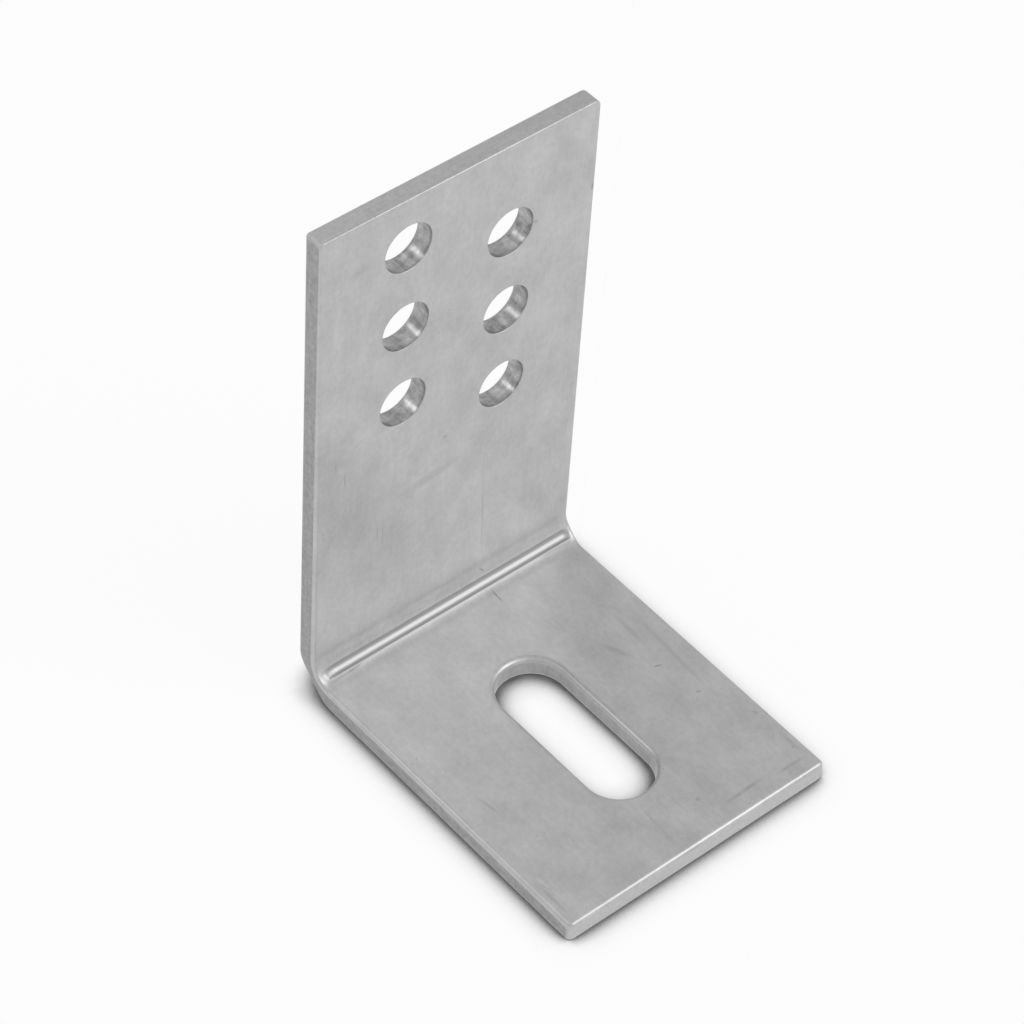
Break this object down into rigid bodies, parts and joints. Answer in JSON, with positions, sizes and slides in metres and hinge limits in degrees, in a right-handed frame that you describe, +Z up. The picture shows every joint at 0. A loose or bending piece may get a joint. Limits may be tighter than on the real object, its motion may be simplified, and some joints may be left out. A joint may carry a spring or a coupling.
{
  "type": "angle bracket",
  "caption": "Folded steel angle bracket: a tall leg with staggered round bolt holes and a shorter foot with a long adjusting slot.",
  "frame": {"origin": "middle of the footprint, on the underside of the foot", "axes": "+X along the fold, +Y from the foot towards the tall leg, +Z up the tall leg"},
  "size_m": [0.0606, 0.075, 0.11],
  "materials": {
    "satin_steel": "dull satin, with fine upright rolling grain and faint shop-floor scratches"
  },
  "bodies": {
    "root": {"angle_bracket": "satin_steel"}
  },
  "joints": []
}
